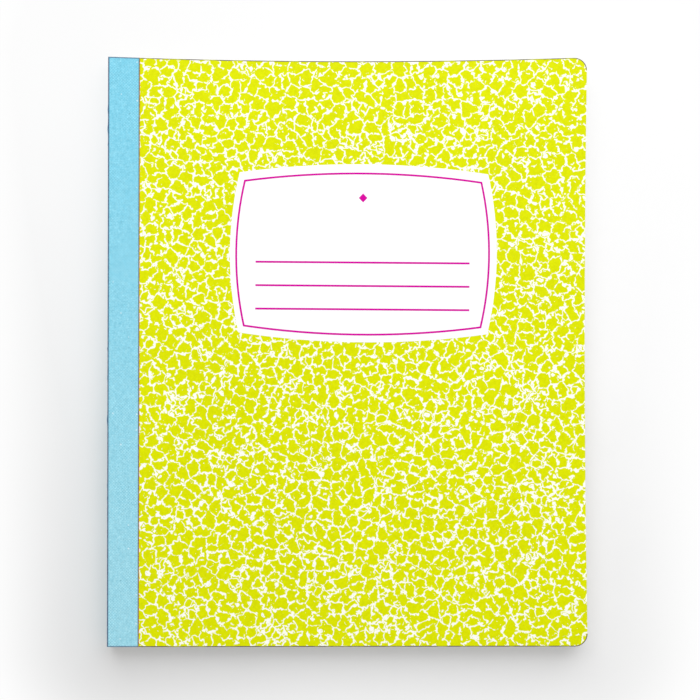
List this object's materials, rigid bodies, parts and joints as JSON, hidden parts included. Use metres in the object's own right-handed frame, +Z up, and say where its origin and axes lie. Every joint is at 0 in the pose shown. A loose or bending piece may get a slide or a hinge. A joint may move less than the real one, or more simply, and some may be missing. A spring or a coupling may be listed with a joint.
{
  "type": "composition notebook",
  "caption": "Sewn composition notebook with stiff marbled covers that swing open on a wrapped tape spine, and a plain white label field on the front.",
  "frame": {"origin": "on the surface that the closed book lies on, under the middle of its outline", "axes": "+Z up through the front cover, +Y to the head of the book, +X from the spine to the fore edge"},
  "size_m": [0.1906, 0.234, 0.0106],
  "materials": {
    "cover_board": "smooth printed pressboard, satin",
    "endpaper": "uncoated",
    "leaves": "uncoated",
    "binding_tape": "fine cloth tape, slightly waxy",
    "thread": "twisted cotton",
    "label_white": "printed, satin",
    "print_magenta": "printed, satin"
  },
  "bodies": {
    "back_cover": {"back_board": "cover_board", "back_pastedown": "endpaper", "tape_back_flap": "binding_tape"},
    "book_block": {"page_block": "leaves", "sewing_thread": "thread", "tape_spine": "binding_tape"},
    "front_cover": {"front_board": "cover_board", "front_pastedown": "endpaper", "tape_front_flap": "binding_tape", "label_panel": "label_white", "label_border": "print_magenta", "label_rules": "print_magenta", "label_mark": "print_magenta"}
  },
  "joints": [
    {"name": "back_hinge", "type": "hinge", "parent": "back_cover", "child": "book_block", "pos_m": [-0.09513, 0, 0.00013], "axis": [0, -1, 0], "range_deg": [0, 90]},
    {"name": "front_hinge", "type": "hinge", "parent": "book_block", "child": "front_cover", "pos_m": [-0.09513, 0, 0.01047], "axis": [0, -1, 0], "range_deg": [0, 180]}
  ]
}
